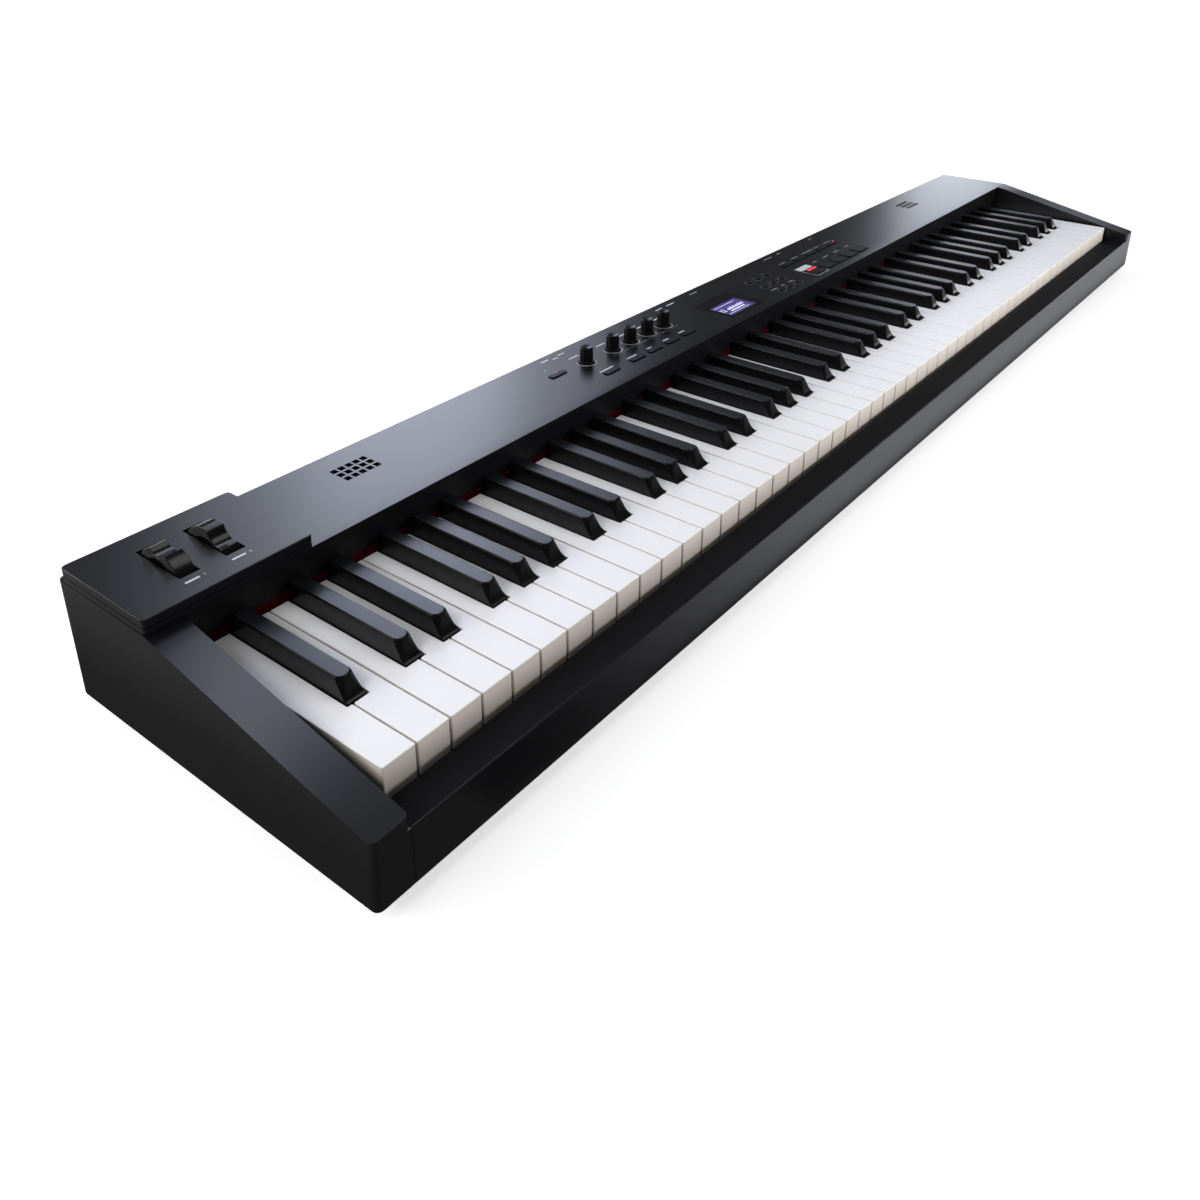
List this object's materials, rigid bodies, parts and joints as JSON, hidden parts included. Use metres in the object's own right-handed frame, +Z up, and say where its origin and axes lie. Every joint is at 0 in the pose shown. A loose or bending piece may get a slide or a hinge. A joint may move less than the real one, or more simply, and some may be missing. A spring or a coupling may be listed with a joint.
{
  "type": "stage piano",
  "caption": "Black stage piano with a full keyboard, two control wheels, knobs, buttons, a small display and built-in speakers behind panel grilles.",
  "frame": {"origin": "middle of the footprint, on the surface that the feet rest on", "axes": "+X along the keys from bass to treble, +Y from the player to the rear, +Z up"},
  "size_m": [1.284, 0.258, 0.11],
  "materials": {
    "case_paint": "satin black paint",
    "gloss_black": "gloss black",
    "matte_black": "matte black",
    "rubber": "matte black rubber",
    "ivory": "white with a fine matte grain on top",
    "ebony": "black, textured top and smooth sides",
    "red_felt": "dark red felt",
    "grey_felt": "grey felt",
    "chassis": "grey moulded plastic",
    "steel": "plain steel",
    "board_green": "green circuit board",
    "screen": "violet-blue display"
  },
  "bodies": {
    "case": {"top_case": "case_paint", "bottom_plate": "matte_black", "front_rail": "case_paint", "foot_1": "rubber", "foot_2": "rubber", "foot_3": "rubber", "foot_4": "rubber", "fallboard": "gloss_black", "felt_strip": "red_felt", "key_chassis": "chassis", "stop_felt": "grey_felt", "contact_board": "board_green", "wheel_plate": "case_paint", "wheel_bracket": "matte_black", "wheel_axle": "steel", "display_window": "gloss_black", "display_screen": "screen", "panel_board": "board_green", "main_board": "board_green", "speaker_left": "matte_black", "speaker_right": "matte_black", "jack_panel": "matte_black"},
    "lowest_white_keys": {"lowest_white_keys": "ivory"},
    "lowest_black_key": {"lowest_black_key": "ebony"},
    "octave_1_keys_c_e_g_b": {"octave_1_keys_c_e_g_b": "ivory"},
    "octave_1_keys_d_f_a": {"octave_1_keys_d_f_a": "ivory"},
    "octave_1_black_keys": {"octave_1_black_keys": "ebony"},
    "octave_2_keys_c_e_g_b": {"octave_2_keys_c_e_g_b": "ivory"},
    "octave_2_keys_d_f_a": {"octave_2_keys_d_f_a": "ivory"},
    "octave_2_black_keys": {"octave_2_black_keys": "ebony"},
    "octave_3_keys_c_e_g_b": {"octave_3_keys_c_e_g_b": "ivory"},
    "octave_3_keys_d_f_a": {"octave_3_keys_d_f_a": "ivory"},
    "octave_3_black_keys": {"octave_3_black_keys": "ebony"},
    "octave_4_keys_c_e_g_b": {"octave_4_keys_c_e_g_b": "ivory"},
    "octave_4_keys_d_f_a": {"octave_4_keys_d_f_a": "ivory"},
    "octave_4_black_keys": {"octave_4_black_keys": "ebony"},
    "octave_5_keys_c_e_g_b": {"octave_5_keys_c_e_g_b": "ivory"},
    "octave_5_keys_d_f_a": {"octave_5_keys_d_f_a": "ivory"},
    "octave_5_black_keys": {"octave_5_black_keys": "ebony"},
    "octave_6_keys_c_e_g_b": {"octave_6_keys_c_e_g_b": "ivory"},
    "octave_6_keys_d_f_a": {"octave_6_keys_d_f_a": "ivory"},
    "octave_6_black_keys": {"octave_6_black_keys": "ebony"},
    "octave_7_keys_c_e_g_b": {"octave_7_keys_c_e_g_b": "ivory"},
    "octave_7_keys_d_f_a": {"octave_7_keys_d_f_a": "ivory"},
    "octave_7_black_keys": {"octave_7_black_keys": "ebony"},
    "highest_white_key": {"highest_white_key": "ivory"},
    "pitch_wheel": {"pitch_wheel": "matte_black"},
    "modulation_wheel": {"modulation_wheel": "matte_black"},
    "volume_knob": {"volume_knob": "matte_black"},
    "control_knob_1": {"control_knob_1": "matte_black"},
    "control_knob_2": {"control_knob_2": "matte_black"},
    "control_knob_3": {"control_knob_3": "matte_black"},
    "control_knob_4": {"control_knob_4": "matte_black"},
    "power_button": {"power_button": "matte_black"},
    "mode_buttons": {"mode_buttons": "matte_black"},
    "grid_buttons_1": {"grid_buttons_1": "matte_black"},
    "grid_buttons_2": {"grid_buttons_2": "matte_black"},
    "grid_buttons_3": {"grid_buttons_3": "matte_black"},
    "tone_buttons": {"tone_buttons": "matte_black"},
    "scene_buttons": {"scene_buttons": "matte_black"}
  },
  "joints": [
    {"name": "lowest_white_keys_hinge", "type": "hinge", "parent": "case", "child": "lowest_white_keys", "pos_m": [0, 0.101, 0.0435], "axis": [1, 0, 0], "range_deg": [0, 2.8], "stiffness_Nm_per_rad": 0.75, "springref_deg": -20.05},
    {"name": "lowest_black_key_hinge", "type": "hinge", "parent": "case", "child": "lowest_black_key", "pos_m": [0, 0.087, 0.0435], "axis": [1, 0, 0], "range_deg": [0, 3.6], "stiffness_Nm_per_rad": 0.36, "springref_deg": -20.05},
    {"name": "octave_1_keys_c_e_g_b_hinge", "type": "hinge", "parent": "case", "child": "octave_1_keys_c_e_g_b", "pos_m": [0, 0.101, 0.0435], "axis": [1, 0, 0], "range_deg": [0, 2.8], "stiffness_Nm_per_rad": 1.5, "springref_deg": -20.05},
    {"name": "octave_1_keys_d_f_a_hinge", "type": "hinge", "parent": "case", "child": "octave_1_keys_d_f_a", "pos_m": [0, 0.115, 0.0435], "axis": [1, 0, 0], "range_deg": [0, 2.6], "stiffness_Nm_per_rad": 1.2, "springref_deg": -20.05},
    {"name": "octave_1_black_keys_hinge", "type": "hinge", "parent": "case", "child": "octave_1_black_keys", "pos_m": [0, 0.087, 0.0435], "axis": [1, 0, 0], "range_deg": [0, 3.6], "stiffness_Nm_per_rad": 1.8, "springref_deg": -20.05},
    {"name": "octave_2_keys_c_e_g_b_hinge", "type": "hinge", "parent": "case", "child": "octave_2_keys_c_e_g_b", "pos_m": [0, 0.101, 0.0435], "axis": [1, 0, 0], "range_deg": [0, 2.8], "stiffness_Nm_per_rad": 1.5, "springref_deg": -20.05},
    {"name": "octave_2_keys_d_f_a_hinge", "type": "hinge", "parent": "case", "child": "octave_2_keys_d_f_a", "pos_m": [0, 0.115, 0.0435], "axis": [1, 0, 0], "range_deg": [0, 2.6], "stiffness_Nm_per_rad": 1.2, "springref_deg": -20.05},
    {"name": "octave_2_black_keys_hinge", "type": "hinge", "parent": "case", "child": "octave_2_black_keys", "pos_m": [0, 0.087, 0.0435], "axis": [1, 0, 0], "range_deg": [0, 3.6], "stiffness_Nm_per_rad": 1.8, "springref_deg": -20.05},
    {"name": "octave_3_keys_c_e_g_b_hinge", "type": "hinge", "parent": "case", "child": "octave_3_keys_c_e_g_b", "pos_m": [0, 0.101, 0.0435], "axis": [1, 0, 0], "range_deg": [0, 2.8], "stiffness_Nm_per_rad": 1.5, "springref_deg": -20.05},
    {"name": "octave_3_keys_d_f_a_hinge", "type": "hinge", "parent": "case", "child": "octave_3_keys_d_f_a", "pos_m": [0, 0.115, 0.0435], "axis": [1, 0, 0], "range_deg": [0, 2.6], "stiffness_Nm_per_rad": 1.2, "springref_deg": -20.05},
    {"name": "octave_3_black_keys_hinge", "type": "hinge", "parent": "case", "child": "octave_3_black_keys", "pos_m": [0, 0.087, 0.0435], "axis": [1, 0, 0], "range_deg": [0, 3.6], "stiffness_Nm_per_rad": 1.8, "springref_deg": -20.05},
    {"name": "octave_4_keys_c_e_g_b_hinge", "type": "hinge", "parent": "case", "child": "octave_4_keys_c_e_g_b", "pos_m": [0, 0.101, 0.0435], "axis": [1, 0, 0], "range_deg": [0, 2.8], "stiffness_Nm_per_rad": 1.5, "springref_deg": -20.05},
    {"name": "octave_4_keys_d_f_a_hinge", "type": "hinge", "parent": "case", "child": "octave_4_keys_d_f_a", "pos_m": [0, 0.115, 0.0435], "axis": [1, 0, 0], "range_deg": [0, 2.6], "stiffness_Nm_per_rad": 1.2, "springref_deg": -20.05},
    {"name": "octave_4_black_keys_hinge", "type": "hinge", "parent": "case", "child": "octave_4_black_keys", "pos_m": [0, 0.087, 0.0435], "axis": [1, 0, 0], "range_deg": [0, 3.6], "stiffness_Nm_per_rad": 1.8, "springref_deg": -20.05},
    {"name": "octave_5_keys_c_e_g_b_hinge", "type": "hinge", "parent": "case", "child": "octave_5_keys_c_e_g_b", "pos_m": [0, 0.101, 0.0435], "axis": [1, 0, 0], "range_deg": [0, 2.8], "stiffness_Nm_per_rad": 1.5, "springref_deg": -20.05},
    {"name": "octave_5_keys_d_f_a_hinge", "type": "hinge", "parent": "case", "child": "octave_5_keys_d_f_a", "pos_m": [0, 0.115, 0.0435], "axis": [1, 0, 0], "range_deg": [0, 2.6], "stiffness_Nm_per_rad": 1.2, "springref_deg": -20.05},
    {"name": "octave_5_black_keys_hinge", "type": "hinge", "parent": "case", "child": "octave_5_black_keys", "pos_m": [0, 0.087, 0.0435], "axis": [1, 0, 0], "range_deg": [0, 3.6], "stiffness_Nm_per_rad": 1.8, "springref_deg": -20.05},
    {"name": "octave_6_keys_c_e_g_b_hinge", "type": "hinge", "parent": "case", "child": "octave_6_keys_c_e_g_b", "pos_m": [0, 0.101, 0.0435], "axis": [1, 0, 0], "range_deg": [0, 2.8], "stiffness_Nm_per_rad": 1.5, "springref_deg": -20.05},
    {"name": "octave_6_keys_d_f_a_hinge", "type": "hinge", "parent": "case", "child": "octave_6_keys_d_f_a", "pos_m": [0, 0.115, 0.0435], "axis": [1, 0, 0], "range_deg": [0, 2.6], "stiffness_Nm_per_rad": 1.2, "springref_deg": -20.05},
    {"name": "octave_6_black_keys_hinge", "type": "hinge", "parent": "case", "child": "octave_6_black_keys", "pos_m": [0, 0.087, 0.0435], "axis": [1, 0, 0], "range_deg": [0, 3.6], "stiffness_Nm_per_rad": 1.8, "springref_deg": -20.05},
    {"name": "octave_7_keys_c_e_g_b_hinge", "type": "hinge", "parent": "case", "child": "octave_7_keys_c_e_g_b", "pos_m": [0, 0.101, 0.0435], "axis": [1, 0, 0], "range_deg": [0, 2.8], "stiffness_Nm_per_rad": 1.5, "springref_deg": -20.05},
    {"name": "octave_7_keys_d_f_a_hinge", "type": "hinge", "parent": "case", "child": "octave_7_keys_d_f_a", "pos_m": [0, 0.115, 0.0435], "axis": [1, 0, 0], "range_deg": [0, 2.6], "stiffness_Nm_per_rad": 1.2, "springref_deg": -20.05},
    {"name": "octave_7_black_keys_hinge", "type": "hinge", "parent": "case", "child": "octave_7_black_keys", "pos_m": [0, 0.087, 0.0435], "axis": [1, 0, 0], "range_deg": [0, 3.6], "stiffness_Nm_per_rad": 1.8, "springref_deg": -20.05},
    {"name": "highest_white_key_hinge", "type": "hinge", "parent": "case", "child": "highest_white_key", "pos_m": [0, 0.101, 0.0435], "axis": [1, 0, 0], "range_deg": [0, 2.8], "stiffness_Nm_per_rad": 0.375, "springref_deg": -20.05},
    {"name": "pitch_wheel_turn", "type": "hinge", "parent": "case", "child": "pitch_wheel", "pos_m": [-0.6006, 0.0824, 0.088], "axis": [1, 0, 0], "range_deg": [-40, 40], "stiffness_Nm_per_rad": 0.05},
    {"name": "modulation_wheel_turn", "type": "hinge", "parent": "case", "child": "modulation_wheel", "pos_m": [-0.5706, 0.0824, 0.088], "axis": [1, 0, 0], "range_deg": [-60, 0]},
    {"name": "volume_knob_turn", "type": "hinge", "parent": "case", "child": "volume_knob", "pos_m": [-0.2074, 0.0935, 0.091], "axis": [0, 0, 1], "range_deg": [-150, 150]},
    {"name": "control_knob_1_turn", "type": "hinge", "parent": "case", "child": "control_knob_1", "pos_m": [-0.1718, 0.0935, 0.091], "axis": [0, 0, 1], "range_deg": [-150, 150]},
    {"name": "control_knob_2_turn", "type": "hinge", "parent": "case", "child": "control_knob_2", "pos_m": [-0.1467, 0.0935, 0.091], "axis": [0, 0, 1], "range_deg": [-150, 150]},
    {"name": "control_knob_3_turn", "type": "hinge", "parent": "case", "child": "control_knob_3", "pos_m": [-0.1216, 0.0935, 0.091], "axis": [0, 0, 1], "range_deg": [-150, 150]},
    {"name": "control_knob_4_turn", "type": "hinge", "parent": "case", "child": "control_knob_4", "pos_m": [-0.0965, 0.0935, 0.091], "axis": [0, 0, 1], "range_deg": [-150, 150]},
    {"name": "power_button_press", "type": "slide", "parent": "case", "child": "power_button", "axis": [0, 0, -1], "range_m": [0, 0.001], "stiffness_N_per_m": 300, "springref_m": -0.004},
    {"name": "mode_buttons_press", "type": "slide", "parent": "case", "child": "mode_buttons", "axis": [0, 0, -1], "range_m": [0, 0.001], "stiffness_N_per_m": 300, "springref_m": -0.004},
    {"name": "grid_buttons_1_press", "type": "slide", "parent": "case", "child": "grid_buttons_1", "axis": [0, 0, -1], "range_m": [0, 0.001], "stiffness_N_per_m": 300, "springref_m": -0.004},
    {"name": "grid_buttons_2_press", "type": "slide", "parent": "case", "child": "grid_buttons_2", "axis": [0, 0, -1], "range_m": [0, 0.001], "stiffness_N_per_m": 300, "springref_m": -0.004},
    {"name": "grid_buttons_3_press", "type": "slide", "parent": "case", "child": "grid_buttons_3", "axis": [0, 0, -1], "range_m": [0, 0.001], "stiffness_N_per_m": 300, "springref_m": -0.004},
    {"name": "tone_buttons_press", "type": "slide", "parent": "case", "child": "tone_buttons", "axis": [0, 0, -1], "range_m": [0, 0.001], "stiffness_N_per_m": 300, "springref_m": -0.004},
    {"name": "scene_buttons_press", "type": "slide", "parent": "case", "child": "scene_buttons", "axis": [0, 0, -1], "range_m": [0, 0.001], "stiffness_N_per_m": 300, "springref_m": -0.004}
  ]
}
